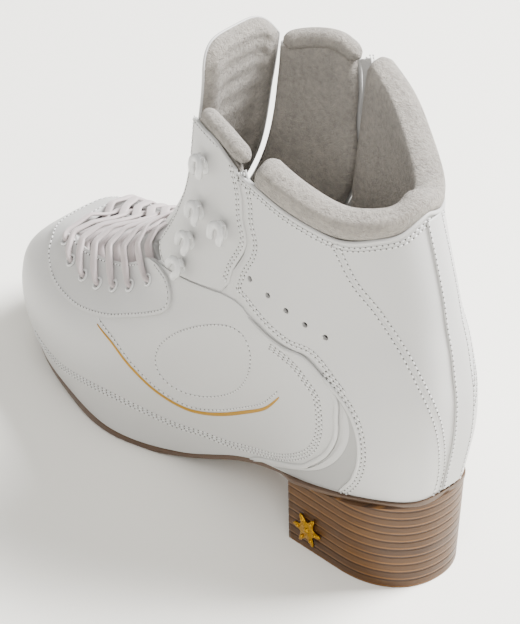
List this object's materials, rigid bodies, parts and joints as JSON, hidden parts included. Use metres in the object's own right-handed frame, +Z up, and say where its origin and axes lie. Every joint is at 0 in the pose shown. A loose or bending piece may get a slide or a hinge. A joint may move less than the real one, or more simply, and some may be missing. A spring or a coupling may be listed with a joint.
{
  "type": "figure skating boot",
  "caption": "High white leather skating boot for a left foot, with eyelets, lacing hooks, padded collar and stacked heel, without a blade.",
  "frame": {"origin": "middle of the bounding box at floor level, the plane that the heel and the ball of the sole stand on", "axes": "+X from the heel to the toe, +Y to the outside of the foot (the wearer's left), +Z up the shaft"},
  "size_m": [0.2854, 0.1014, 0.2469],
  "materials": {
    "white_leather": "smooth white coated leather with a fine grain",
    "lining_suede": "grey-beige brushed microfibre suede",
    "fibre_board": "pressed tan fibre board and cork",
    "stiffener": "off-white thermoplastic stiffener sheet",
    "sole_leather": "dark brown varnished sole leather",
    "stacked_leather": "brown varnished stacked leather, ragged layer edges",
    "white_metal": "white lacquered metal",
    "steel": "plain spring steel",
    "gold_metal": "polished gold-coloured plate",
    "lace": "flat woven off-white lace with a pinkish cast",
    "clear_plastic": "clear plastic tip"
  },
  "bodies": {
    "boot": {"back_panel": "white_leather", "back_strap": "white_leather", "cork_filler": "fibre_board", "eyelet_patch": "white_leather", "footbed": "lining_suede", "front_panel": "white_leather", "heel_counter": "stiffener", "heel_emblem": "gold_metal", "heel_lift_1": "stacked_leather", "heel_lift_2": "stacked_leather", "heel_lift_3": "stacked_leather", "heel_lift_4": "stacked_leather", "heel_seat_wedge": "stacked_leather", "heel_top_piece": "stacked_leather", "inner_aglet": "clear_plastic", "inner_crescent_inlay": "white_leather", "inner_eyelet_1": "white_metal", "inner_eyelet_2": "white_metal", "inner_eyelet_3": "white_metal", "inner_eyelet_4": "white_metal", "inner_eyelet_5": "white_metal", "inner_eyelet_6": "white_metal", "inner_eyelet_7": "white_metal", "inner_quarter": "white_leather", "insole_board": "fibre_board", "lace": "lace", "lace_hank": "lace", "outer_aglet": "clear_plastic", "outer_crescent_inlay": "white_leather", "outer_eyelet_1": "white_metal", "outer_eyelet_2": "white_metal", "outer_eyelet_3": "white_metal", "outer_eyelet_4": "white_metal", "outer_eyelet_5": "white_metal", "outer_eyelet_6": "white_metal", "outer_eyelet_7": "white_metal", "outer_quarter": "white_leather", "outsole": "sole_leather", "padded_collar": "lining_suede", "quarter_lining": "lining_suede", "steel_shank": "steel", "toe_puff": "stiffener", "tongue_base": "lining_suede", "vamp_lining": "lining_suede"},
    "tongue": {"tongue_leather": "white_leather", "tongue_padding": "lining_suede"},
    "outer_flap": {"outer_ankle_flap": "white_leather", "outer_flap_padding": "lining_suede", "outer_hook_1": "white_metal", "outer_hook_2": "white_metal", "outer_hook_3": "white_metal", "outer_hook_4": "white_metal", "outer_hook_5": "white_metal"},
    "inner_flap": {"inner_ankle_flap": "white_leather", "inner_flap_padding": "lining_suede", "inner_hook_1": "white_metal", "inner_hook_2": "white_metal", "inner_hook_3": "white_metal", "inner_hook_4": "white_metal", "inner_hook_5": "white_metal"}
  },
  "joints": [
    {"name": "tongue_forward", "type": "hinge", "parent": "boot", "child": "tongue", "pos_m": [0.03971, 0.00838, 0.1185], "axis": [0, 1, 0], "range_deg": [0, 35]},
    {"name": "outer_flap_open", "type": "hinge", "parent": "boot", "child": "outer_flap", "pos_m": [-0.04179, 0.04698, 0.15], "axis": [0, 0, 1], "range_deg": [0, 20]},
    {"name": "inner_flap_open", "type": "hinge", "parent": "boot", "child": "inner_flap", "pos_m": [-0.04369, -0.03503, 0.15], "axis": [0, 0, -1], "range_deg": [0, 20]}
  ]
}
